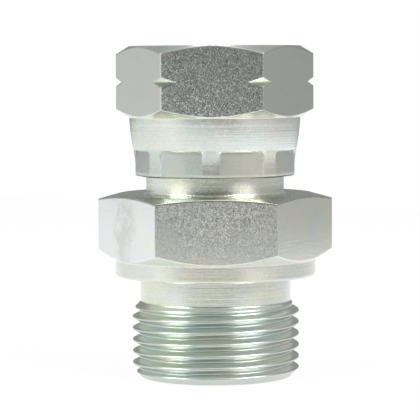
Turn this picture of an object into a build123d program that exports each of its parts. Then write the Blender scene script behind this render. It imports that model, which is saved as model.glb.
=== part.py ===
# Straight adapter for hydraulic pipework in zinc-plated steel, two pieces.
# The body is one turned hexagon bar: a parallel pipe stud at the foot, a round
# collar, the spanner hexagon, a plain neck, and a nose with a 60 degree cone.
# The nut turns freely on that nose. It is slipped over it from the front, and
# its skirt is then pressed in by eight dies behind the collar of the nose.
# Millimetres. Z is the axis, Z = 0 is the end face of the stud, -Y the front.
import os
from math import cos, radians, tan

from build123d import *

os.makedirs("parts", exist_ok=True)

# Stud: pipe thread 3/4, drawn at its outside diameter
stud_thread_d = 26.33
stud_length = 16.0
stud_relief_depth = 1.335
stud_relief_width = 4.1
stud_end_land = 1.33
collar_d = 31.5
collar_height = 2.55
collar_edge_break = 0.25

# Body hexagon and the neck that the nut's lip runs on
body_across_flats = 32.0
body_hexagon_height = 10.33
body_lower_chamfer = 30.0
body_lower_chamfer_width = 2.725
body_upper_chamfer = 15.0
body_upper_chamfer_width = 3.275
neck_d = 21.64
neck_length = 6.42

# Nose that stands inside the nut
nose_catch = 0.98
nose_collar_height = 4.72
nose_cylinder_height = 0.9
nose_tip_wall = 0.9
nose_mouth_break = 0.3
cone_angle = 60.0

# Way through for the oil
stud_bore_d = 16.0
nose_bore_d = 12.0
stud_bore_depth = 24.0
drill_point_angle = 118.0

# Swivel nut: pipe thread 1/2, drawn at the diameter of its hole
nut_thread_hole_d = 18.63
nut_mouth_chamfer = 1.435
nut_across_flats = 27.0
nut_hexagon_height = 11.17
nut_chamfer = 30.0
nut_chamfer_width = 2.14
nut_roof_depth = 10.96
nut_turn = -1.95
notch_height = 5.53
notch_depth = 0.96
notch_angle = 71.0

# Skirt of the nut, closed in behind the collar of the nose
skirt_wall = 1.57
skirt_knee_wall = 1.39
skirt_knee_drop = 2.33
lip_wall = 1.66
lip_waist_height = 2.65
lip_end_wall = 1.44
lip_length = 3.59
lip_edge_break = 0.15
crimp_sides = 8
crimp_wall = 1.09
crimp_height = 4.1
crimp_turn = -1.4

# Clearances of the swivel joint
nut_bore_clearance = 0.08
nut_lip_clearance = 0.09
nut_seat_clearance = 0.04
nut_lip_end_clearance = 0.15
nose_thread_clearance = 0.315

# The stud and its mouth
stud_relief_d = stud_thread_d - 2 * stud_relief_depth
stud_seat_mouth_d = stud_relief_d - 2 * stud_end_land
relief_foot = stud_length - stud_relief_width
stud_seat_depth = (stud_seat_mouth_d - stud_bore_d) / 2 / tan(radians(cone_angle / 2))
bore_step = (stud_bore_d - nose_bore_d) / 2 / tan(radians(drill_point_angle / 2))

# The nose, whose front part passes through the nut's thread
nose_collar_d = neck_d + 2 * nose_catch
nose_d = nut_thread_hole_d - 2 * nose_thread_clearance
nose_tip_d = nose_bore_d + 2 * nose_tip_wall

# Heights along the body
collar_top = stud_length + collar_height
hexagon_top = collar_top + body_hexagon_height
shoulder_foot = hexagon_top + neck_length
shoulder_top = shoulder_foot + nose_catch
nose_seat = shoulder_top + nose_collar_height
cone_foot = nose_seat + nose_cylinder_height
cone_top = cone_foot + (nose_d - nose_tip_d) / 2 / tan(radians(cone_angle / 2))

# The nut, from the roof that rests on the nose collar
nut_roof = nose_seat + nut_seat_clearance
nut_top = nut_roof + nut_roof_depth
nut_mouth_d = nut_thread_hole_d + 2 * nut_mouth_chamfer
nut_bore_d = nose_collar_d + 2 * nut_bore_clearance
lip_d = neck_d + 2 * nut_lip_clearance
# the lip's cone lies under the shoulder of the nose, parallel to it
lip_top = shoulder_foot + nut_lip_clearance - nut_lip_end_clearance
skirt_top = nut_top - nut_hexagon_height
skirt_end = lip_top - lip_length
skirt_r = nut_bore_d / 2 + skirt_wall
knee_r = nut_bore_d / 2 + skirt_knee_wall
waist_r = lip_d / 2 + lip_wall
lip_end_r = lip_d / 2 + lip_end_wall
crimp_r = lip_d / 2 + crimp_wall

with BuildPart() as adapter_body:
    # the hexagon bar, each end turned to a cone that leaves six arcs on the flats
    corner_r = body_across_flats / 2 / cos(radians(30))
    with BuildSketch(Plane.XY.offset(collar_top)):
        RegularPolygon(body_across_flats / 2, 6, major_radius=False)
    extrude(amount=body_hexagon_height)
    low_rise = body_lower_chamfer_width * tan(radians(body_lower_chamfer))
    high_drop = body_upper_chamfer_width * tan(radians(body_upper_chamfer))
    with BuildSketch(Plane.XZ):
        with BuildLine():
            Polyline(
                (0, collar_top),
                (corner_r - body_lower_chamfer_width, collar_top),
                (corner_r, collar_top + low_rise),
                (corner_r, hexagon_top - high_drop),
                (corner_r - body_upper_chamfer_width, hexagon_top),
                (0, hexagon_top),
                close=True,
            )
        make_face()
    revolve(mode=Mode.INTERSECT)

    # stud with its thread chamfered at the end and running out into the relief
    with BuildSketch(Plane.XZ):
        with BuildLine():
            Polyline(
                (0, 0),
                (stud_relief_d / 2, 0),
                (stud_thread_d / 2, stud_relief_depth),
                (stud_thread_d / 2, relief_foot - stud_relief_depth),
                (stud_relief_d / 2, relief_foot),
                (stud_relief_d / 2, stud_length),
                (collar_d / 2 - collar_edge_break, stud_length),
                (collar_d / 2, stud_length + collar_edge_break),
                (collar_d / 2, collar_top),
                (0, collar_top),
                close=True,
            )
        make_face()
    revolve()

    # neck, collar of the nose with its 45 degree shoulder, and the sealing cone
    with BuildSketch(Plane.XZ):
        with BuildLine():
            Polyline(
                (0, hexagon_top),
                (neck_d / 2, hexagon_top),
                (neck_d / 2, shoulder_foot),
                (nose_collar_d / 2, shoulder_top),
                (nose_collar_d / 2, nose_seat),
                (nose_d / 2, nose_seat),
                (nose_d / 2, cone_foot),
                (nose_tip_d / 2, cone_top),
                (0, cone_top),
                close=True,
            )
        make_face()
    revolve()

    # bored from both ends, with the inner sealing cone in the stud's mouth
    with BuildSketch(Plane.XZ):
        with BuildLine():
            Polyline(
                (0, 0),
                (stud_seat_mouth_d / 2, 0),
                (stud_bore_d / 2, stud_seat_depth),
                (stud_bore_d / 2, stud_bore_depth),
                (nose_bore_d / 2, stud_bore_depth + bore_step),
                (nose_bore_d / 2, cone_top - nose_mouth_break),
                (nose_bore_d / 2 + nose_mouth_break, cone_top),
                (0, cone_top),
                close=True,
            )
        make_face()
    revolve(mode=Mode.SUBTRACT)

with BuildPart() as swivel_nut:
    # hexagon with both ends turned to a cone
    corner_r = nut_across_flats / 2 / cos(radians(30))
    with BuildSketch(Plane.XY.offset(skirt_top)):
        RegularPolygon(nut_across_flats / 2, 6, major_radius=False, rotation=nut_turn)
    extrude(amount=nut_hexagon_height)
    chamfer_rise = nut_chamfer_width * tan(radians(nut_chamfer))
    with BuildSketch(Plane.XZ):
        with BuildLine():
            Polyline(
                (0, skirt_top),
                (corner_r - nut_chamfer_width, skirt_top),
                (corner_r, skirt_top + chamfer_rise),
                (corner_r, nut_top - chamfer_rise),
                (corner_r - nut_chamfer_width, nut_top),
                (0, nut_top),
                close=True,
            )
        make_face()
    revolve(mode=Mode.INTERSECT)

    # turned V groove half way up, which only reaches the six corners
    notch_z = skirt_top + notch_height
    notch_half = (notch_depth + 1) * tan(radians(notch_angle / 2))
    with BuildSketch(Plane.XZ):
        with BuildLine():
            Polyline(
                (corner_r - notch_depth, notch_z),
                (corner_r + 1, notch_z - notch_half),
                (corner_r + 1, notch_z + notch_half),
                close=True,
            )
        make_face()
    revolve(mode=Mode.SUBTRACT)

    # skirt: nearly straight under the hexagon, then drawn in over the nose collar
    with BuildSketch(Plane.XZ):
        with BuildLine():
            Polyline(
                (0, nut_roof + skirt_wall),
                (skirt_r, nut_roof + skirt_wall),
                (skirt_r, skirt_top),
                (knee_r, skirt_top - skirt_knee_drop),
                (waist_r, skirt_end + lip_waist_height),
                (lip_end_r, skirt_end + lip_edge_break),
                (lip_end_r - lip_edge_break, skirt_end),
                (0, skirt_end),
                close=True,
            )
        make_face()
    revolve()

    # eight flats left by the dies that closed the skirt
    with BuildSketch(Plane.XY.offset(skirt_end)):
        Circle(skirt_r + 1)
        RegularPolygon(
            crimp_r,
            crimp_sides,
            major_radius=False,
            rotation=nut_turn + crimp_turn,
            mode=Mode.SUBTRACT,
        )
    extrude(amount=crimp_height, mode=Mode.SUBTRACT)

    # inside: mouth, thread hole, room for the nose collar, and the closed lip
    with BuildSketch(Plane.XZ):
        with BuildLine():
            Polyline(
                (0, skirt_end),
                (lip_d / 2, skirt_end),
                (lip_d / 2, lip_top),
                (nut_bore_d / 2, lip_top + (nut_bore_d - lip_d) / 2),
                (nut_bore_d / 2, nut_roof),
                (nut_thread_hole_d / 2, nut_roof),
                (nut_thread_hole_d / 2, nut_top - nut_mouth_chamfer),
                (nut_mouth_d / 2, nut_top),
                (0, nut_top),
                close=True,
            )
        make_face()
    revolve(mode=Mode.SUBTRACT)

adapter_body.part.label = "adapter_body"
swivel_nut.part.label = "swivel_nut"
export_step(adapter_body.part, "parts/adapter_body.step")
export_step(swivel_nut.part, "parts/swivel_nut.step")
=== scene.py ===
import math
import bpy
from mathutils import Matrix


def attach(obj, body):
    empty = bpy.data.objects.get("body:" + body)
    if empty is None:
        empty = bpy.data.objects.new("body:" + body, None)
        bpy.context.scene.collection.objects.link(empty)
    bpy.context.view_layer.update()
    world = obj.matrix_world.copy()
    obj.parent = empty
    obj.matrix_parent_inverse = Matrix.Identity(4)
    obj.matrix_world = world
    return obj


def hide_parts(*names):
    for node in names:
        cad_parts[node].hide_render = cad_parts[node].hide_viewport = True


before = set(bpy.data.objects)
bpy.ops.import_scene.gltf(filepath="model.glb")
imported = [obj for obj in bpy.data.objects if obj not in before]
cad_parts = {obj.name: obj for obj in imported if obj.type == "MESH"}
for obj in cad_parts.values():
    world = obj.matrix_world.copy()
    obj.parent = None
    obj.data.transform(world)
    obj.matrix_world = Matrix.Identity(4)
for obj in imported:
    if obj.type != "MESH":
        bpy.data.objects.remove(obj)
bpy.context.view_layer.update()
mm = 0.001

# pipe threads: 14 turns to the inch, 55 degree flanks, rounded at crest and root
thread = {
    "pitch": 25.4 / 14,
    "flankAngle": math.radians(27.5),
    "roundShare": 0.137329,
    "depthShare": 0.640327,
    "arcSteps": 3,
    "flankSteps": 3,
}


def threadForm():
    # (offset along the axis from a crest, depth below the crest) over one pitch
    pitch, flank = thread["pitch"], thread["flankAngle"]
    rounding = thread["roundShare"] * pitch
    depth = thread["depthShare"] * pitch
    reach = rounding * math.cos(flank)
    drop = rounding * (1 - math.sin(flank))
    half = []
    for step in range(thread["arcSteps"]):
        u = reach * step / thread["arcSteps"]
        half.append((u, rounding - math.sqrt(rounding**2 - u**2)))
    for step in range(thread["flankSteps"]):
        share = step / thread["flankSteps"]
        half.append((reach + (pitch / 2 - 2 * reach) * share, drop + (depth - 2 * drop) * share))
    for step in range(thread["arcSteps"] + 1):
        u = reach * (1 - step / thread["arcSteps"])
        half.append((pitch / 2 - u, depth - rounding + math.sqrt(rounding**2 - u**2)))
    rest = [(pitch - u, d) for u, d in reversed(half[1:-1])]
    return half + rest


# beside each soft corner stands one more point, which keeps the shading of the faces flat
softCorner = {"mostReach": 0.45, "beside": 0.12, "mostBeside": 0.48, "leastTangent": 0.05}


def roundedPath(corners):
    # corners are (group, radius, height, rounding, steps); returns keyed points with soft corners
    points = []
    for i, (group, r, z, rounding, steps) in enumerate(corners):
        if not rounding:
            points.append(((group, 0), r, z))
            continue
        _, r0, z0 = corners[i - 1][:3]
        _, r1, z1 = corners[(i + 1) % len(corners)][:3]
        inLength = math.hypot(r0 - r, z0 - z)
        outLength = math.hypot(r1 - r, z1 - z)
        inR, inZ = (r0 - r) / inLength, (z0 - z) / inLength
        outR, outZ = (r1 - r) / outLength, (z1 - z) / outLength
        cosine = max(-1.0, min(1.0, inR * outR + inZ * outZ))
        halfAngle = math.acos(cosine) / 2
        reach = rounding / max(math.tan(halfAngle), softCorner["leastTangent"])
        reach = min(reach, softCorner["mostReach"] * inLength, softCorner["mostReach"] * outLength)
        before = min(reach + softCorner["beside"], softCorner["mostBeside"] * inLength)
        points.append(((group, -1), r + inR * before, z + inZ * before))
        for step in range(steps + 1):
            t = step / steps
            a, b, c = (1 - t) ** 2, 2 * t * (1 - t), t * t
            points.append((
                (group, step),
                a * (r + inR * reach) + b * r + c * (r + outR * reach),
                a * (z + inZ * reach) + b * z + c * (z + outZ * reach),
            ))
        after = min(reach + softCorner["beside"], softCorner["mostBeside"] * outLength)
        points.append(((group, steps + 1), r + outR * after, z + outZ * after))
    return points


def hexRadius(angle, flats, corner):
    # distance from the axis to a hexagon with rounded corners, corners at 0, 60, ... degrees
    apothem = flats / 2
    off = abs((angle + 30) % 60 - 30)
    away = (apothem - corner) / math.cos(math.radians(30))
    tangent = math.degrees(math.atan2(corner * 0.5, away + corner * math.cos(math.radians(30))))
    if off >= tangent:
        return apothem / math.cos(math.radians(30 - off))
    turn = math.radians(off)
    return away * math.cos(turn) + math.sqrt(corner**2 - (away * math.sin(turn)) ** 2)


def hexAngles(flats, corner, across):
    # columns over the full turn, close together where the corners are rounded
    away = (flats / 2 - corner) / math.cos(math.radians(30))
    tangent = math.degrees(math.atan2(corner * 0.5, away + corner * math.cos(math.radians(30))))
    angles = []
    for side in range(6):
        start = side * 60
        angles += [start - tangent, start - tangent / 2, start, start + tangent / 2, start + tangent]
        width = 60 - 2 * tangent
        angles += [start + tangent + width * i / across for i in range(1, across)]
    return sorted(a % 360 for a in angles)


def zipColumns(name, columns, shifts, finishes):
    # columns: closed loops of (key, radius, height, angle); equal keys join up round the piece
    verts, starts = [], []
    for column in columns:
        starts.append(len(verts))
        for _, r, z, a in column:
            turn = math.radians(a)
            verts.append((r * math.cos(turn) * mm, r * math.sin(turn) * mm, z * mm))
    faces, groups = [], []
    for c, here in enumerate(columns):
        after = (c + 1) % len(columns)
        there = columns[after]
        wrap = after == 0
        hereKeys = [p[0] for p in here]
        thereKeys = [
            (k[0], k[1] + shifts.get(k[0], 0)) if wrap else k for k in (p[0] for p in there)
        ]
        i = j = 0
        a0, b0 = starts[c], starts[after]
        while i < len(here) - 1 or j < len(there) - 1:
            nextHere = hereKeys[i + 1] if i + 1 < len(here) else (1e9, 0)
            nextThere = thereKeys[j + 1] if j + 1 < len(there) else (1e9, 0)
            if nextHere == nextThere:
                faces.append((a0 + i, b0 + j, b0 + j + 1, a0 + i + 1))
                groups.append(min(hereKeys[i][0], nextHere[0]))
                i, j = i + 1, j + 1
            elif nextHere < nextThere:
                faces.append((a0 + i, b0 + j, a0 + i + 1))
                groups.append(hereKeys[i][0])
                i += 1
            else:
                faces.append((a0 + i, b0 + j, b0 + j + 1))
                groups.append(thereKeys[j][0])
                j += 1
        faces.append((a0 + i, b0 + j, b0, a0))
        groups.append(hereKeys[i][0])
    mesh = bpy.data.meshes.new(name)
    mesh.from_pydata(verts, [], faces)
    slots = [material for material, _ in finishes]
    for material in slots:
        mesh.materials.append(material)
    for polygon, group in zip(mesh.polygons, groups):
        polygon.use_smooth = True
        for index, (_, wanted) in enumerate(finishes):
            if group in wanted:
                polygon.material_index = index
    mesh.validate()
    piece = bpy.data.objects.new(name, mesh)
    bpy.context.scene.collection.objects.link(piece)
    flat = piece.modifiers.new("flatShading", "WEIGHTED_NORMAL")
    flat.mode = "FACE_AREA"
    flat.weight = 60
    flat.keep_sharp = True
    return piece


def threadRun(group, angle, crestAt, low, high, radiusAt, upward):
    # the points of a helical thread that one column crosses between two heights
    form = threadForm()
    pitch = thread["pitch"]
    first = math.floor((low - crestAt) / pitch) - 2
    last = math.ceil((high - crestAt) / pitch) + 1
    points = []
    for turn in range(first, last + 1):
        for step, (u, depth) in enumerate(form):
            z = crestAt + pitch * (turn + angle / 360) + u
            if low + 0.05 < z < high - 0.05:
                number = turn * len(form) + step
                points.append(((group, number if upward else -number), radiusAt(z, depth), z, angle))
    return points if upward else points[::-1]


def newGroup(name, inputs, outputs):
    group = bpy.data.node_groups.new(name, "ShaderNodeTree")
    for label, kind, value in inputs:
        socket = group.interface.new_socket(name=label, in_out="INPUT", socket_type="NodeSocket" + kind)
        socket.default_value = value
    for label, kind in outputs:
        group.interface.new_socket(name=label, in_out="OUTPUT", socket_type="NodeSocket" + kind)
    return group, group.nodes.new("NodeGroupInput").outputs, group.nodes.new("NodeGroupOutput").inputs


def groupNode(tree, group, values):
    node = tree.nodes.new("ShaderNodeGroup")
    node.node_tree = group
    for label, value in values.items():
        node.inputs[label].default_value = value
    return node


def feed(tree, value, socket):
    # a number or a tuple is set, an output is linked
    if isinstance(value, (int, float, tuple)):
        socket.default_value = value
    else:
        tree.links.new(value, socket)


def mathNode(tree, operation, first, second=None, clamp=False):
    node = tree.nodes.new("ShaderNodeMath")
    node.operation = operation
    node.use_clamp = clamp
    feed(tree, first, node.inputs[0])
    if second is not None:
        feed(tree, second, node.inputs[1])
    return node.outputs[0]


def vectorNode(tree, operation, first, second=None):
    node = tree.nodes.new("ShaderNodeVectorMath")
    node.operation = operation
    feed(tree, first, node.inputs[0])
    if second is not None:
        feed(tree, second, node.inputs["Scale" if operation == "SCALE" else 1])
    return node.outputs[0]


def colorMix(tree, factor, first, second, blend="MIX"):
    node = tree.nodes.new("ShaderNodeMix")
    node.data_type = "RGBA"
    node.blend_type = blend
    for label, value in (("Factor", factor), ("A", first), ("B", second)):
        feed(tree, value, node.inputs[label])
    return node.outputs["Result"]


def splitNode(tree, vector):
    node = tree.nodes.new("ShaderNodeSeparateXYZ")
    tree.links.new(vector, node.inputs[0])
    return node.outputs


def joinNode(tree, x, y, z):
    node = tree.nodes.new("ShaderNodeCombineXYZ")
    for socket, value in zip(node.inputs, (x, y, z)):
        tree.links.new(value, socket)
    return node.outputs[0]


def mappingNode(tree, vector, scale, tilt=(0, 0, 0)):
    node = tree.nodes.new("ShaderNodeMapping")
    node.inputs["Scale"].default_value = scale
    node.inputs["Rotation"].default_value = tilt
    tree.links.new(vector, node.inputs["Vector"])
    return node.outputs[0]


def noiseNode(tree, vector, scale, detail, roughness):
    node = tree.nodes.new("ShaderNodeTexNoise")
    feed(tree, scale, node.inputs["Scale"])
    node.inputs["Detail"].default_value = detail
    node.inputs["Roughness"].default_value = roughness
    tree.links.new(vector, node.inputs["Vector"])
    return node.outputs["Fac"]


def rampNode(tree, value, low, high, atLow, atHigh):
    node = tree.nodes.new("ShaderNodeMapRange")
    node.interpolation_type = "SMOOTHSTEP"
    tree.links.new(value, node.inputs["Value"])
    for label, number in (("From Min", low), ("From Max", high), ("To Min", atLow), ("To Max", atHigh)):
        node.inputs[label].default_value = number
    return node.outputs[0]


turning = {
    "noiseReach": 0.0022, "brokenFineness": 2600.0, "drawnFineness": 3400.0,
    "drawnScale": (0.07, 0.07, 1.0), "drawnTilt": (0.03, 0.02, 0.0),
}


def buildTurningLines():
    # rings left by the lathe: the same all the way round, changing along the axis and the radius
    group, inputs, outputs = newGroup(
        "turningLines",
        [("Fineness", "Float", 9000.0), ("Wander", "Float", 0.02)],
        [("Rings", "Float"), ("Broken", "Float"), ("Drawn", "Float")],
    )
    coordinate = group.nodes.new("ShaderNodeTexCoord").outputs["Object"]
    x, y, z = splitNode(group, coordinate)
    squares = mathNode(group, "ADD", mathNode(group, "MULTIPLY", x, x), mathNode(group, "MULTIPLY", y, y))
    radius = mathNode(group, "SQRT", squares)
    angle = mathNode(group, "ARCTAN2", y, x)
    around = mathNode(group, "MULTIPLY", mathNode(group, "SINE", angle), turning["noiseReach"])
    across = mathNode(group, "MULTIPLY", mathNode(group, "COSINE", angle), turning["noiseReach"])
    ring = joinNode(group, radius, mathNode(group, "MULTIPLY", around, inputs["Wander"]), z)
    rings = noiseNode(group, ring, inputs["Fineness"], 3.0, 0.6)
    arc = joinNode(group, around, across, mathNode(group, "ADD", z, radius))
    broken = noiseNode(group, arc, turning["brokenFineness"], 2.0, 0.55)
    along = mappingNode(group, coordinate, turning["drawnScale"], turning["drawnTilt"])
    drawn = noiseNode(group, along, turning["drawnFineness"], 3.0, 0.6)
    group.links.new(drawn, outputs["Drawn"])
    group.links.new(rings, outputs["Rings"])
    group.links.new(broken, outputs["Broken"])
    return group


plate = {
    "lowFoot": 0.0190, "lowTop": 0.0275, "lowShare": 0.75,
    "patchFrom": 0.35, "patchTo": 0.65, "patchShare": 0.6, "sideFrom": 0.75, "sideTo": 0.97,
}


def buildZincGrain():
    # crystals a tenth to a quarter of a millimetre across: each lies a little askew and is
    # lighter or darker
    group, inputs, outputs = newGroup(
        "zincGrain",
        [("Grain size", "Float", 3600.0), ("Askew", "Float", 0.2), ("Patch size", "Float", 260.0),
         ("Patchiness", "Float", 0.5), ("Side wear", "Float", 0.0)],
        [("Grain", "Float"), ("Patches", "Float"), ("Aside", "Float"), ("Normal", "Vector")],
    )
    coordinate = group.nodes.new("ShaderNodeTexCoord").outputs["Object"]
    patches = noiseNode(group, coordinate, inputs["Patch size"], 3.0, 0.5)
    crystals = group.nodes.new("ShaderNodeTexVoronoi")
    group.links.new(coordinate, crystals.inputs["Vector"])
    group.links.new(inputs["Grain size"], crystals.inputs["Scale"])
    shade = splitNode(group, crystals.outputs["Color"])[0]
    centred = vectorNode(group, "SUBTRACT", crystals.outputs["Color"], (0.5, 0.5, 0.5))
    # the crystals lie flatter low on the body, in patches, and on flats that face aside
    height = splitNode(group, coordinate)[2]
    low = rampNode(group, height, plate["lowFoot"], plate["lowTop"], plate["lowShare"], 0.0)
    uneven = rampNode(group, patches, plate["patchFrom"], plate["patchTo"], 0.0, plate["patchShare"])
    uneven = mathNode(group, "ADD", uneven, low, clamp=True)
    flatter = mathNode(group, "MULTIPLY", uneven, inputs["Patchiness"])
    facing = splitNode(group, group.nodes.new("ShaderNodeTexCoord").outputs["Normal"])[1]
    facing = mathNode(group, "ABSOLUTE", facing)
    aside = rampNode(group, facing, plate["sideFrom"], plate["sideTo"], 1.0, 0.0)
    worn = mathNode(group, "SUBTRACT", 1.0, mathNode(group, "MULTIPLY", aside, inputs["Side wear"]))
    amount = mathNode(group, "MULTIPLY", mathNode(group, "SUBTRACT", 1.0, flatter), worn)
    lean = vectorNode(group, "SCALE", centred, mathNode(group, "MULTIPLY", amount, inputs["Askew"]))
    normal = group.nodes.new("ShaderNodeNewGeometry").outputs["Normal"]
    askew = vectorNode(group, "NORMALIZE", vectorNode(group, "ADD", normal, lean))
    mild = mathNode(group, "MULTIPLY", mathNode(group, "SUBTRACT", shade, 0.5), worn)
    group.links.new(mathNode(group, "ADD", mild, 0.5), outputs["Grain"])
    group.links.new(patches, outputs["Patches"])
    group.links.new(aside, outputs["Aside"])
    group.links.new(askew, outputs["Normal"])
    return group


film = {
    "fineness": 150.0, "scale": (1.0, 1.0, 1.6), "clear": (0.91, 0.92, 0.90, 1),
    "colors": [
        (0.30, (0.82, 0.89, 0.95, 1)), (0.42, (0.84, 0.93, 0.88, 1)), (0.52, (0.92, 0.94, 0.83, 1)),
        (0.62, (0.95, 0.93, 0.85, 1)), (0.72, (0.95, 0.89, 0.93, 1)),
    ],
}


def buildZincTint():
    # the faint yellow, green, blue and pink that a thin passivated film shows, and painted side light
    group, inputs, outputs = newGroup(
        "zincTint",
        [("Plain", "Color", (0.75, 0.76, 0.74, 1)), ("Tint", "Float", 0.5), ("Grain", "Float", 0.5),
         ("Grain depth", "Float", 0.1), ("Drift", "Float", 6.0), ("Painted side light", "Vector", (0, 0, 0))],
        [("Color", "Color")],
    )
    coordinate = group.nodes.new("ShaderNodeTexCoord").outputs["Object"]
    stretched = mappingNode(group, coordinate, film["scale"])
    thickness = noiseNode(group, stretched, film["fineness"], 3.0, 0.55)
    ramp = group.nodes.new("ShaderNodeValToRGB")
    stops = ramp.color_ramp.elements
    for i, (position, color) in enumerate(film["colors"]):
        # a new ramp has two stops already
        stop = stops[i] if i < 2 else stops.new(position)
        stop.position = position
        stop.color = color
    sideways = splitNode(group, coordinate)[0]
    leftward = mathNode(group, "MINIMUM", sideways, 0.0)
    drift = mathNode(group, "MULTIPLY", leftward, inputs["Drift"])
    group.links.new(mathNode(group, "ADD", thickness, drift), ramp.inputs[0])
    tinted = colorMix(group, inputs["Tint"], film["clear"], ramp.outputs[0])
    color = colorMix(group, 1.0, inputs["Plain"], tinted, "MULTIPLY")
    depth = mathNode(group, "SUBTRACT", inputs["Grain"], 0.5)
    lift = mathNode(group, "ADD", mathNode(group, "MULTIPLY", depth, inputs["Grain depth"]), 1.0)
    # painted side light: the colour is made lighter towards one side of the piece and darker towards the
    # other
    gain = vectorNode(group, "ADD", vectorNode(group, "SCALE", inputs["Painted side light"], sideways), lift)
    group.links.new(vectorNode(group, "MULTIPLY", color, gain), outputs["Color"])
    return group


dried = {
    "flatAngle": 210.0, "halfWidth": 0.0038, "edge": 0.35, "flatFrom": 0.0150, "flatFull": 0.0158,
    "wobbleFineness": 260.0, "wobbleReach": 0.010,
    "blotchFineness": 520.0, "blotchFrom": 0.36, "blotchTo": 0.64, "blotchLeast": 0.15,
    "color": (0.69, 0.70, 0.65, 1), "dullness": 0.12,
}


def buildDriedStain():
    # a dull, blotchy band where the passivating bath dried on one flat
    group, _, outputs = newGroup("driedStain", [], [("Stain", "Float")])
    coordinate = group.nodes.new("ShaderNodeTexCoord").outputs["Object"]
    rotate = group.nodes.new("ShaderNodeVectorRotate")
    rotate.rotation_type = "Z_AXIS"
    rotate.inputs["Angle"].default_value = -math.radians(dried["flatAngle"])
    group.links.new(coordinate, rotate.inputs["Vector"])
    outward, across, _ = splitNode(group, rotate.outputs[0])
    wobble = noiseNode(group, coordinate, dried["wobbleFineness"], 3.0, 0.6)
    shift = mathNode(group, "MULTIPLY", mathNode(group, "SUBTRACT", wobble, 0.5), dried["wobbleReach"])
    away = mathNode(group, "ABSOLUTE", mathNode(group, "ADD", across, shift))
    share = mathNode(group, "DIVIDE", away, dried["halfWidth"])
    band = rampNode(group, share, dried["edge"], 1.0, 1.0, 0.0)
    here = rampNode(group, outward, dried["flatFrom"], dried["flatFull"], 0.0, 1.0)
    blotch = noiseNode(group, coordinate, dried["blotchFineness"], 4.0, 0.6)
    uneven = rampNode(group, blotch, dried["blotchFrom"], dried["blotchTo"], dried["blotchLeast"], 1.0)
    stain = mathNode(group, "MULTIPLY", mathNode(group, "MULTIPLY", band, here), uneven)
    group.links.new(stain, outputs["Stain"])
    return group


turningLines = buildTurningLines()
driedStain = buildDriedStain()
zincGrain = buildZincGrain()
zincTint = buildZincTint()


def zincFinish(name, look):
    # one finish of the plate, from the look's own values
    material = bpy.data.materials.new(name)
    material.use_nodes = True
    tree = material.node_tree
    shader = tree.nodes["Principled BSDF"].inputs
    shader["Metallic"].default_value = 1.0
    if look["brushed"]:
        shader["Anisotropic"].default_value = look["brushed"]
        shader["Anisotropic Rotation"].default_value = 0.25
        around = tree.nodes.new("ShaderNodeTangent")
        around.direction_type = "RADIAL"
        around.axis = "Z"
        tree.links.new(around.outputs[0], shader["Tangent"])
    lines = groupNode(tree, turningLines, {"Fineness": look["ringFineness"], "Wander": look["ringWander"]})
    grain = groupNode(tree, zincGrain, {
        "Grain size": look["grainSize"], "Patch size": look["patchSize"], "Askew": look["askew"],
        "Patchiness": look["patchiness"], "Side wear": look["sideWear"],
    })
    # the tint also paints side light: the look's lean makes the colour lighter towards one side
    tint = groupNode(tree, zincTint, {
        "Plain": (*look["plain"], 1), "Tint": look["tint"], "Drift": look["drift"],
        "Painted side light": look["lean"], "Grain depth": look["speckle"],
    })
    aside = grain.outputs["Aside"]
    tone = mathNode(tree, "SUBTRACT", lines.outputs["Rings"], 0.5)
    tone = mathNode(tree, "MULTIPLY", tone, look["lineTone"])
    # painted side light: flats that face aside are made lighter or darker, and this goes into the colour
    # with the grain
    if look["paintedSideLight"]:
        paintedAsideLight = mathNode(tree, "MULTIPLY", aside, look["paintedSideLight"] / look["speckle"])
        tone = mathNode(tree, "ADD", tone, paintedAsideLight)
    tree.links.new(mathNode(tree, "ADD", tone, grain.outputs["Grain"]), tint.inputs["Grain"])
    rough = mathNode(tree, "SUBTRACT", grain.outputs["Patches"], 0.5)
    rough = mathNode(tree, "MULTIPLY", rough, look["roughnessSpread"])
    rough = mathNode(tree, "ADD", rough, look["roughness"])
    if look["sideWear"]:
        rough = mathNode(tree, "SUBTRACT", rough, mathNode(tree, "MULTIPLY", aside, look["sideShine"]))
        # flats that face the camera have a third of the tint
        shown = rampNode(tree, aside, 0.0, 1.0, look["tint"] / 3, look["tint"])
        tree.links.new(shown, tint.inputs["Tint"])
    color = tint.outputs["Color"]
    if look["stain"]:
        stain = groupNode(tree, driedStain, {})
        amount = mathNode(tree, "MULTIPLY", stain.outputs["Stain"], look["stain"])
        color = colorMix(tree, amount, color, dried["color"])
        rough = mathNode(tree, "ADD", rough, mathNode(tree, "MULTIPLY", amount, dried["dullness"]))
    tree.links.new(color, shader["Base Color"])
    tree.links.new(rough, shader["Roughness"])
    ringed = mathNode(tree, "MULTIPLY", lines.outputs["Rings"], look["ringDepth"])
    broken = mathNode(tree, "MULTIPLY", lines.outputs["Broken"], look["brokenDepth"])
    # and a third of the depth of the drawn lines
    drawnDepth = rampNode(tree, aside, 0.0, 1.0, look["drawnDepth"] / 3, look["drawnDepth"])
    drawn = mathNode(tree, "MULTIPLY", lines.outputs["Drawn"], drawnDepth)
    bump = tree.nodes.new("ShaderNodeBump")
    bump.inputs["Strength"].default_value = 1.0
    bump.inputs["Distance"].default_value = 1.0
    height = mathNode(tree, "ADD", mathNode(tree, "ADD", ringed, broken), drawn)
    tree.links.new(height, bump.inputs["Height"])
    tree.links.new(grain.outputs["Normal"], bump.inputs["Normal"])
    tree.links.new(bump.outputs[0], shader["Normal"])
    return material


# lean changes the colour from the left of the piece to the right; on the skirt, the pressed flats, the
# notches and the nut's flats it is painted side light
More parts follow.
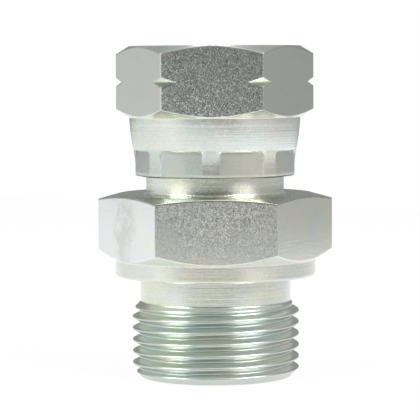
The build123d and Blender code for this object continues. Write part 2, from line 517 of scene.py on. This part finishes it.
turned = {
    "brushed": 0.6, "plain": (0.86, 0.86, 0.80), "tint": 0.6, "drift": 12.0, "lean": (-1.0, -1.0, 2.0),
    "roughness": 0.26, "roughnessSpread": 0.10, "ringFineness": 4200.0, "ringWander": 0.05,
    "ringDepth": 0.000017, "brokenDepth": 0.000006, "drawnDepth": 0.0, "lineTone": 2.2,
    "grainSize": 3600.0, "askew": 0.03, "patchSize": 320.0, "patchiness": 0.5, "speckle": 0.06,
    "sideWear": 0.0, "sideShine": 0.0, "paintedSideLight": 0.0, "stain": 0.0,
}
# painted side light: the nut's flats are made darker towards the right and on the faces that look aside
drawnNut = {
    "brushed": 0.0, "plain": (0.92, 0.94, 0.93), "tint": 0.35, "drift": 2.0, "lean": (-3.5, -3.5, -4.5),
    "roughness": 0.23, "roughnessSpread": 0.08, "ringFineness": 5200.0, "ringWander": 0.05,
    "ringDepth": 0.0, "brokenDepth": 0.0, "drawnDepth": 0.0, "lineTone": 0.0,
    "grainSize": 8200.0, "askew": 0.19, "patchSize": 160.0, "patchiness": 0.3, "speckle": 0.35,
    "sideWear": 0.85, "sideShine": 0.02, "paintedSideLight": -0.15, "stain": 0.0,
}
# painted side light: the body's flats that face aside are made lighter
drawnBody = dict(drawnNut, askew=0.13, grainSize=9000.0, patchSize=110.0, patchiness=0.9,
                 speckle=0.22, roughness=0.25, stain=0.8, plain=(0.84, 0.84, 0.81),
                 drawnDepth=0.000006, sideShine=0.05, paintedSideLight=0.12, tint=0.6, drift=17.0,
                 lean=(0, 0, 0))
chamfered = dict(turned, brushed=0.0, plain=(0.51, 0.52, 0.51), roughness=0.42)
# painted shade: the top face and its edge are darker copies of the zinc, for the dark reflection of the
# shaded nut and neck above
topped = dict(chamfered, plain=(0.54, 0.55, 0.50), roughness=0.26)
topEdge = dict(chamfered, plain=(0.58, 0.59, 0.54), roughness=0.28, askew=0.13, speckle=0.3,
               grainSize=9000.0, ringDepth=0.000006)
# painted side light: the skirt is made lighter towards the right and darker towards the left
skirted = dict(turned, plain=(0.88, 0.89, 0.90), lean=(9.5, 9.0, 11.0), drift=6.0, lineTone=4.0,
               ringDepth=0.000022)
# painted shade: the rim's lowest band is dark, for the shaded gap between the skirt and the neck
paintedRimShade = dict(chamfered, plain=(0.34, 0.34, 0.31), roughness=0.30)
# painted light: the neck is a lighter copy of the zinc, which brightens its highlights
necked = dict(turned, plain=(0.93, 0.94, 0.88), ringDepth=0.000022, lineTone=1.5, roughness=0.27)
# painted shade: the notches are a darker copy of the zinc, with painted side light lighter on the right
# and darker on the left
notched = dict(turned, lean=(14, 14, 14), brushed=0.3, plain=(0.54, 0.55, 0.50), roughness=0.32)
polished = dict(turned, brushed=0.2, plain=(0.92, 0.93, 0.90), roughness=0.20, tint=0.2)
# painted side light: the pressed flats and the lands are made lighter towards the right and darker towards
# the left
pressed = dict(turned, brushed=0.5, plain=(0.71, 0.71, 0.68), roughness=0.28, lean=(11.0, 10.0, 11.0),
               ringDepth=0.000004, lineTone=1.5, tint=0.7)
land = dict(pressed, plain=(0.80, 0.81, 0.79), ringDepth=0.00002, brokenDepth=0.000003, lineTone=3.0)
threaded = dict(turned, brushed=0.2, plain=(0.68, 0.72, 0.69), roughness=0.30, tint=0.5,
                ringDepth=0.000008, brokenDepth=0.000004, lineTone=1.0)
bored = dict(turned, plain=(0.72, 0.74, 0.71), roughness=0.32)

turnedZinc = zincFinish("turnedZinc", turned)
nutFlatZinc = zincFinish("nutFlatZinc", drawnNut)
bodyFlatZinc = zincFinish("bodyFlatZinc", drawnBody)
chamferZinc = zincFinish("chamferZinc", chamfered)
topZinc = zincFinish("topZinc", topped)
edgeZinc = zincFinish("edgeZinc", topEdge)
skirtZinc = zincFinish("skirtZinc", skirted)
paintedRimShadeZinc = zincFinish("paintedRimShadeZinc", paintedRimShade)
neckZinc = zincFinish("neckZinc", necked)
polishedZinc = zincFinish("polishedZinc", polished)
notchZinc = zincFinish("notchZinc", notched)
pressedZinc = zincFinish("pressedZinc", pressed)
landZinc = zincFinish("landZinc", land)
threadZinc = zincFinish("threadZinc", threaded)
boreZinc = zincFinish("boreZinc", bored)
print("zinc finishes made")

body = {
    "flats": 32.0, "cornerRound": 0.3, "columnsAcross": 34,
    "threadRadius": 13.165, "reliefRadius": 11.83, "studLength": 16.0,
    "reliefFoot": 11.9, "threadCrest": 6.696, "threadLow": 0.15, "threadHigh": 11.95,
    "mouthRadius": 10.5, "collarRadius": 15.75, "collarTop": 18.55,
    "hexTop": 28.88, "topCircle": 15.2, "topSlope": math.tan(math.radians(15)),
    "footSlope": math.tan(math.radians(30)),
    "neckRadius": 10.82, "neckFillet": 0.35, "shoulderFoot": 35.3, "noseCollarRadius": 11.8,
    "noseSeat": 41.0, "noseRadius": 9.0, "coneFoot": 41.9, "tipRadius": 6.9, "coneTop": 45.537,
    "noseBore": 6.0, "studBore": 8.0, "boreStepTop": 25.2, "boreStep": 24.0, "seatDepth": 4.33,
}


def bodyEnvelope(z):
    chamferFoot = body["reliefRadius"] + z
    runOut = body["reliefRadius"] + max(0.0, body["reliefFoot"] - z)
    return min(body["threadRadius"], chamferFoot, runOut)


def bodyColumn(angle):
    hexR = hexRadius(angle, body["flats"], body["cornerRound"])
    lowZ = body["collarTop"] + (hexR - body["collarRadius"]) * body["footSlope"]
    highZ = body["hexTop"] - (hexR - body["topCircle"]) * body["topSlope"]
    relief, neck, seat = body["reliefRadius"], body["neckRadius"], body["noseSeat"]
    corners = [
        (0, body["mouthRadius"], 0.0, 0.10, 2),
        (1, relief, 0.0, 0.06, 2),
        (2, relief + body["threadLow"], body["threadLow"], 0, 0),
        (4, relief, body["threadHigh"], 0, 0),
        (4.2, relief, body["threadHigh"] + 0.15, 0, 0),
        (4.4, relief, body["threadHigh"] + 0.4, 0, 0),
        (5, relief, body["studLength"], 0.35, 4),
        (6, body["collarRadius"] - 0.25, body["studLength"], 0.10, 2),
        (7, body["collarRadius"], body["studLength"] + 0.25, 0.10, 2),
        (8, body["collarRadius"], body["collarTop"], 0.06, 2),
        (9, hexR, lowZ, 0.12, 2),
        (10, hexR, highZ, 0.14, 2),
        (11, body["topCircle"], body["hexTop"], 0.5, 3),
        (12, neck, body["hexTop"], body["neckFillet"], 6),
        (13, neck, body["shoulderFoot"], 0.3, 2),
        (14, body["noseCollarRadius"], body["shoulderFoot"] + body["noseCollarRadius"] - neck, 0.1, 2),
        (15, body["noseCollarRadius"], seat, 0.2, 2),
        (16, body["noseRadius"], seat, 0.2, 2),
        (17, body["noseRadius"], body["coneFoot"], 0.15, 2),
        (18, body["tipRadius"], body["coneTop"], 0.1, 2),
        (19, body["noseBore"] + 0.3, body["coneTop"], 0.05, 2),
        (20, body["noseBore"], body["coneTop"] - 0.3, 0.05, 2),
        (21, body["noseBore"], body["boreStepTop"], 0.15, 2),
        (22, body["studBore"], body["boreStep"], 0.15, 2),
        (23, body["studBore"], body["seatDepth"], 0.1, 2),
    ]
    column = [(key, r, z, angle) for key, r, z in roundedPath(corners)]
    helix = threadRun(
        3, angle, body["threadCrest"], body["threadLow"], body["threadHigh"],
        lambda z, depth: min(body["threadRadius"] - depth, bodyEnvelope(z)), True)
    cut = next(i for i, p in enumerate(column) if p[0][0] == 4)
    return column[:cut] + helix + column[cut:]


bodyAngles = hexAngles(body["flats"], body["cornerRound"], body["columnsAcross"])
bodyColumns = [bodyColumn(a) for a in bodyAngles]
fittingBody = zipColumns(
    "fitting_body", bodyColumns, {3: -len(threadForm())},
    [(turnedZinc, {0, 4, 4.2, 4.4, 5, 6, 7, 13, 14, 15, 16, 17, 18}), (threadZinc, {1, 2, 3}),
     (polishedZinc, {8}), (bodyFlatZinc, {9}), (edgeZinc, {10}), (topZinc, {11}), (neckZinc, {12}),
     (boreZinc, {19, 20, 21, 22, 23})],
)
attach(fittingBody, "body")
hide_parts("adapter_body")
print("body", len(fittingBody.data.polygons), "faces")

nut = {
    "flats": 27.0, "cornerRound": 0.45, "turn": -1.95, "columnsAcross": 30,
    "top": 52.0, "topCircle": 13.45, "flatTop": 51.80, "topSlope": 0.52,
    "flatFoot": 41.10, "footSlope": 0.50,
    "notchZ": 46.36, "notchRoot": 14.63, "notchOffset": 0.09, "notchSlope": 0.74,
    "skirtEnd": 31.65, "crimpTop": 35.72, "crimpFlat": 12.0,
    "crimpTurn": -1.0, "crimpEdge": 16.6, "crimpFlare": 1.3, "edgeWidth": 0.7, "rimRound": 0.25,
    "crimpBulge": 0.12, "landLeast": 12.505,
    "mouthRadius": 10.75, "threadHole": 9.315, "threadRoot": 10.4775, "threadCrest": 44.1,
    "roof": 41.04, "boreRadius": 11.88, "lipRadius": 10.91, "lipTop": 35.24,
}
# outside of the skirt as (height, radius), from the hexagon down to the rim
skirtLine = [(40.83, 13.45), (40.3, 13.44), (39.6, 13.37), (39.0, 13.32), (38.4, 13.25),
             (37.75, 13.16), (37.1, 13.05), (36.5, 12.94), (35.87, 12.81), (35.2, 12.71),
             (34.6, 12.61), (34.0, 12.55), (33.3, 12.52), (31.65, 12.52)]


def skirtRadius(z):
    for (z1, r1), (z0, r0) in zip(skirtLine, skirtLine[1:]):
        if z >= z0:
            return r0 + (r1 - r0) * (z - z0) / (z1 - z0)
    return skirtLine[-1][1]


def crimpPoint(offset, z):
    # offset: degrees from the middle of the nearest flat; the columns lean in at the top of the
    # flats, where the dies rounded the corners
    edge = nut["crimpEdge"] - nut["crimpFlare"] * max(0.0, (z - nut["crimpTop"] + 0.6) / 0.6) ** 2
    size, sign = abs(offset), 1 if offset >= 0 else -1
    base = nut["crimpEdge"]
    if size <= base:
        moved = size * edge / base
    else:
        moved = edge + (size - base) * (22.5 - edge) / (22.5 - base)
    flat = nut["crimpFlat"] / math.cos(math.radians(min(moved, edge)))
    flat += nut["crimpBulge"] * (1 - (min(size, base) / base) ** 2)
    share = min(1.0, max(0.0, (size - base) / nut["edgeWidth"]))
    land = max(skirtRadius(z), nut["crimpFlat"] / math.cos(math.radians(base)))
    rim = max(0.0, 1 - (z - nut["skirtEnd"]) / nut["rimRound"])
    return flat + (land - flat) * share - nut["rimRound"] * (1 - math.sqrt(1 - rim**2)), sign * moved


def notchRoot(angle):
    # the tool that marked the corners ran a little off the hexagon's axis
    return nut["notchRoot"] + nut["notchOffset"] * math.sin(math.radians(round(angle / 60) * 60))


def nutAngles():
    angles = set(hexAngles(nut["flats"], nut["cornerRound"], nut["columnsAcross"]))
    special = []
    for side in range(6):
        for s in (-1, 1):
            tip = 30 - math.degrees(math.acos(nut["flats"] / 2 / notchRoot(side * 60)))
            special.append(side * 60 + s * tip)
    for flat in range(8):
        middle = 22.5 + 45 * flat + nut["crimpTurn"]
        for s in (-1, 1):
            special += [middle + s * (nut["crimpEdge"] + w) for w in (-0.6, 0, nut["edgeWidth"])]
    special = [a % 360 for a in special]
    corners = [a for a in angles if abs((a + 30) % 60 - 30) < 1.0]
    kept = [a for a in angles if a in corners or min(abs(a - s) for s in special) > 0.45]
    special = [s for s in special if min(abs(s - c) for c in corners) > 0.2]
    return sorted(set(kept + special))


def nutColumn(angle):
    hexR = hexRadius(angle, nut["flats"], nut["cornerRound"])
    lowZ = nut["flatFoot"] + (hexR - nut["flats"] / 2) * nut["footSlope"]
    highZ = nut["flatTop"] - (hexR - nut["flats"] / 2) * nut["topSlope"]
    root = notchRoot(angle)
    crimpOffset = (angle - nut["crimpTurn"]) % 45 - 22.5
    column = []
    rings = [nut["skirtEnd"] + nut["rimRound"] * s for s in (0, 0.12, 0.4, 1)]
    rings += [32.4, 33.0, 33.6, 34.2, 34.8, 35.1, 35.3, 35.5, 35.62, nut["crimpTop"]]
    # the lowest rings of the rim, group 1, take the dark finish of painted shade
    for step, z in enumerate(rings):
        r, lean = crimpPoint(crimpOffset, z)
        column.append(((2 if z > nut["skirtEnd"] + 0.2 else 1, step), r, z, angle - crimpOffset + lean))
    _, edgeLean = crimpPoint(crimpOffset, nut["crimpTop"])
    above = [(0.07, 0.09), (0.12, 0.03), (0.2, 0), (0.5, 0), (1.0, 0), (1.5, 0), (2.1, 0), (2.7, 0),
             (3.3, 0), (3.9, 0), (4.3, 0), (4.6, 0)]
    pressedIn = 1 - min(1.0, max(0.0, (abs(crimpOffset) - nut["crimpEdge"]) / nut["edgeWidth"]))
    for step, (rise, under) in enumerate(above):
        z = nut["crimpTop"] + rise
        lean = edgeLean + (crimpOffset - edgeLean) * min(1.0, rise / 1.5)
        column.append(((3, step), skirtRadius(z) - under * pressedIn, z, angle - crimpOffset + lean))
    (skirtTop, skirtTopRadius), (nextDown, nextRadius) = skirtLine[:2]
    corners = [
        (4, skirtTopRadius, skirtTop, 0.12, 3),
        (5, hexR, lowZ, 0.10, 2),
    ]
    if hexR > root + 1e-4:
        half = (hexR - root) * nut["notchSlope"]
        corners += [(6, hexR, nut["notchZ"] - half, 0.05, 2), (7, root, nut["notchZ"], 0.05, 2),
                    (8, hexR, nut["notchZ"] + half, 0.05, 2)]
    elif hexR > root - 1e-4:
        # the notch ends here: points close by keep its shading off the flat
        corners += [(5.8, hexR, nut["notchZ"] - 0.2, 0, 0), (6, hexR, nut["notchZ"] - 0.02, 0, 0),
                    (7, hexR, nut["notchZ"], 0, 0), (8, hexR, nut["notchZ"] + 0.02, 0, 0),
                    (8.2, hexR, nut["notchZ"] + 0.2, 0, 0)]
    corners += [
        (9, hexR, highZ, 0.10, 2),
        (10, nut["topCircle"], nut["top"], 0.12, 2),
        (11, nut["mouthRadius"], nut["top"], 0.08, 2),
        (12, nut["mouthRadius"] - 0.3, nut["top"] - 0.3, 0, 0),
        (14, nut["threadHole"] + 0.4, nut["roof"] + 0.5, 0, 0),
        (15, nut["threadHole"], nut["roof"], 0, 0),
        (16, nut["boreRadius"], nut["roof"], 0.2, 2),
        (17, nut["boreRadius"], nut["lipTop"] + nut["boreRadius"] - nut["lipRadius"], 0.3, 2),
        (18, nut["lipRadius"], nut["lipTop"], 0.3, 2),
        (19, nut["lipRadius"], nut["skirtEnd"], 0.15, 2),
    ]
    # the rim's first point closes the loop and stands in for its neighbours' corners
    path = roundedPath([(0, column[0][1], column[0][2], 0, 0), (1, nextRadius, nextDown, 0, 0)] + corners)
    keyed = [(key, r, z, angle) for key, r, z in path if key[0] >= 4]
    helix = threadRun(
        13, angle, nut["threadCrest"], nut["roof"] + 0.5, nut["top"] - 0.3,
        lambda z, depth: max(nut["threadRoot"] - depth, nutEnvelope(z)), False)
    cut = next(i for i, p in enumerate(keyed) if p[0][0] == 14)
    return column + keyed[:cut] + helix + keyed[cut:]


def nutEnvelope(z):
    # the mouth's chamfer, and the thread's run-out above the roof
    mouth = nut["mouthRadius"] - (nut["top"] - z)
    runOut = nut["threadHole"] + max(0.0, 0.9 - (z - nut["roof"]))
    return max(nut["threadHole"], mouth, min(runOut, nut["threadHole"] + 0.4))


nutColumns = [nutColumn(a) for a in nutAngles()]
nutColumns = [[(key, r, z, a + nut["turn"]) for key, r, z, a in column] for column in nutColumns]
nutFinishes = [
    (turnedZinc, {4, 10, 11, 19}), (pressedZinc, {2}), (skirtZinc, {3}),
    (nutFlatZinc, {5, 5.8, 8, 8.2}), (notchZinc, {6, 7}), (chamferZinc, {9}), (paintedRimShadeZinc, {1}),
    (threadZinc, {12, 13, 14}), (boreZinc, {15, 16, 17, 18}), (landZinc, set()),
]
swivelNut = zipColumns("swivel_nut_steel", nutColumns, {13: len(threadForm())}, nutFinishes)
# between the pressed flats the turned skirt is left standing
nutMaterials = [material for material, _ in nutFinishes]
pressedSlot, landSlot = nutMaterials.index(pressedZinc), nutMaterials.index(landZinc)
for polygon in swivelNut.data.polygons:
    radius = math.hypot(*polygon.center[:2])
    if polygon.material_index == pressedSlot and radius > nut["landLeast"] * mm:
        polygon.material_index = landSlot
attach(swivelNut, "nut")
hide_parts("swivel_nut")
print("nut", len(swivelNut.data.polygons), "faces")

studio = {
    "distance": 340.0, "height": 48.83, "tilt": 3.815, "lens": 185.07,
    "sideways": -0.705, "roll": 0.29, "azimuth": -0.2,
    "floorRadius": 0.39, "floorShift": (-0.20, 0.10), "whiteShare": 0.93,
    "paper": (0.86, 0.87, 0.87, 1), "floorDrop": 0.00002, "roomLight": 0.6, "roundSteps": 96,
}
# each ramp is (low, high, value at low, value at high)
tent = {
    "radius": 1.0, "low": -0.35, "high": 1.1, "sides": 64, "ceiling": 0.66, "wall": 0.35,
    "dip": (-1.0, -0.45, 0.145, 0.0), "dipByHeight": (0.03, 0.35, 1.0, 2.2),
    "leftLight": (-0.99, -0.55, 0.42, 0.0), "rightLight": (0.20, 0.95, 0.0, 0.09),
    "tilt": 0.12, "ceilingFrom": (0.55, 0.90, 0.0, 1.0),
}
lamps = [
    {"name": "leftSoftbox", "place": (-0.65, -0.29, 0.50), "aim": (0, 0, 0.03), "size": (0.40, 0.36),
     "power": 4.4, "color": (0.98, 0.99, 1.0)},
    {"name": "rightSoftbox", "place": (0.55, -0.45, 0.50), "aim": (0, 0, 0.03), "size": (0.50, 0.36),
     "power": 5.8, "color": (1.0, 0.99, 0.97)},
    {"name": "topSoftbox", "place": (0.0, -0.20, 0.9), "aim": (0, 0, 0), "size": (0.6, 0.6),
     "power": 1.8, "color": (1, 1, 1)},
]


def makeCamera():
    data = bpy.data.cameras.new("camera")
    data.lens = studio["lens"]
    data.sensor_width = 36.0
    data.clip_start = 0.01
    data.clip_end = 20.0
    camera = bpy.data.objects.new("camera", data)
    bpy.context.scene.collection.objects.link(camera)
    turn = math.radians(studio["azimuth"])
    away, side = studio["distance"] * mm, studio["sideways"] * mm
    camera.location = (
        math.sin(turn) * away + math.cos(turn) * side,
        -math.cos(turn) * away + math.sin(turn) * side,
        studio["height"] * mm,
    )
    camera.rotation_mode = "XYZ"
    camera.rotation_euler = (math.radians(90 - studio["tilt"]), math.radians(studio["roll"]), turn)
    bpy.context.scene.camera = camera


def areaLamp(name, place, aim, size, power, color):
    data = bpy.data.lights.new(name, "AREA")
    data.shape = "RECTANGLE"
    data.size, data.size_y = size
    data.energy = power
    data.color = color
    lamp = bpy.data.objects.new(name, data)
    bpy.context.scene.collection.objects.link(lamp)
    lamp.location = place
    direction = [a - p for a, p in zip(aim, place)]
    flat = math.hypot(direction[0], direction[1])
    lamp.rotation_euler = (math.atan2(flat, -direction[2]), 0, math.atan2(-direction[0], direction[1]))
    lamp.visible_camera = False


def bareMaterial(name):
    material = bpy.data.materials.new(name)
    material.use_nodes = True
    tree = material.node_tree
    tree.nodes.clear()
    return material, tree, tree.nodes.new("ShaderNodeOutputMaterial")


def seenWhite(tree):
    # 1 for rays from the camera and for reflected and refracted ones
    ray = tree.nodes.new("ShaderNodeLightPath").outputs
    seen = mathNode(tree, "MAXIMUM", ray["Is Glossy Ray"], ray["Is Transmission Ray"])
    return mathNode(tree, "MAXIMUM", ray["Is Camera Ray"], seen)


def makeFloor():
    mesh = bpy.data.meshes.new("floor")
    count = studio["roundSteps"]
    radius, (shiftX, shiftY) = studio["floorRadius"], studio["floorShift"]
    rim = [(math.cos(i * math.tau / count) * radius + shiftX,
            math.sin(i * math.tau / count) * radius + shiftY, 0.0) for i in range(count)]
    mesh.from_pydata(rim, [], [list(range(count))])
    floor = bpy.data.objects.new("floor", mesh)
    bpy.context.scene.collection.objects.link(floor)
    floor.location.z = -studio["floorDrop"]
    material, tree, output = bareMaterial("whiteTable")
    paper = tree.nodes.new("ShaderNodeBsdfDiffuse")
    paper.inputs["Color"].default_value = studio["paper"]
    glow = tree.nodes.new("ShaderNodeEmission")
    glow.inputs["Strength"].default_value = 1.0
    mix = tree.nodes.new("ShaderNodeMixShader")
    share = mathNode(tree, "MULTIPLY", seenWhite(tree), studio["whiteShare"])
    tree.links.new(share, mix.inputs["Fac"])
    tree.links.new(paper.outputs[0], mix.inputs[1])
    tree.links.new(glow.outputs[0], mix.inputs[2])
    tree.links.new(mix.outputs[0], output.inputs["Surface"])
    mesh.materials.append(material)


def makeTent():
    # a light tent round the table: paper walls that fade, dark where the camera looks in
    radius, low, high, count = tent["radius"], tent["low"], tent["high"], tent["sides"]
    ring = [(math.cos(i * math.tau / count) * radius, math.sin(i * math.tau / count) * radius)
            for i in range(count)]
    verts = [(x, y, low) for x, y in ring] + [(x, y, high) for x, y in ring]
    faces = [(i, i + count, (i + 1) % count + count, (i + 1) % count) for i in range(count)]
    faces.append(list(range(count, 2 * count)))
    faces.append(list(range(count))[::-1])
    mesh = bpy.data.meshes.new("lightTent")
    mesh.from_pydata(verts, [], faces)
    walls = bpy.data.objects.new("lightTent", mesh)
    bpy.context.scene.collection.objects.link(walls)
    walls.visible_camera = False
    material, tree, output = bareMaterial("tentPaper")
    glow = tree.nodes.new("ShaderNodeEmission")
    direction = vectorNode(tree, "NORMALIZE", tree.nodes.new("ShaderNodeTexCoord").outputs["Object"])
    x, y, z = splitNode(tree, direction)
    # the dark room behind the camera
    dip = rampNode(tree, y, *tent["dip"])
    dip = mathNode(tree, "MULTIPLY", dip, rampNode(tree, z, *tent["dipByHeight"]))
    front = mathNode(tree, "SUBTRACT", tent["wall"], dip)
    left = rampNode(tree, x, *tent["leftLight"])
    right = rampNode(tree, x, *tent["rightLight"])
    wall = mathNode(tree, "ADD", mathNode(tree, "ADD", front, left), right)
    leaning = mathNode(tree, "ADD", z, mathNode(tree, "MULTIPLY", y, tent["tilt"]))
    share = rampNode(tree, leaning, *tent["ceilingFrom"])
    upper = mathNode(tree, "MULTIPLY", share, tent["ceiling"])
    lower = mathNode(tree, "MULTIPLY", wall, mathNode(tree, "SUBTRACT", 1.0, share))
    tree.links.new(mathNode(tree, "ADD", upper, lower), glow.inputs["Strength"])
    tree.links.new(glow.outputs[0], output.inputs["Surface"])
    mesh.materials.append(material)


def makeWorld():
    world = bpy.data.worlds.new("studio")
    bpy.context.scene.world = world
    world.use_nodes = True
    tree = world.node_tree
    tree.nodes.clear()
    output = tree.nodes.new("ShaderNodeOutputWorld")
    room = tree.nodes.new("ShaderNodeBackground")
    room.inputs["Strength"].default_value = studio["roomLight"]
    white = tree.nodes.new("ShaderNodeBackground")
    white.inputs["Color"].default_value = (1, 1, 1, 1)
    mix = tree.nodes.new("ShaderNodeMixShader")
    tree.links.new(seenWhite(tree), mix.inputs["Fac"])
    tree.links.new(room.outputs[0], mix.inputs[1])
    tree.links.new(white.outputs[0], mix.inputs[2])
    tree.links.new(mix.outputs[0], output.inputs["Surface"])


makeCamera()
makeFloor()
makeTent()
makeWorld()
for lamp in lamps:
    areaLamp(**lamp)
bpy.context.scene.view_settings.view_transform = "Standard"
print("studio made")
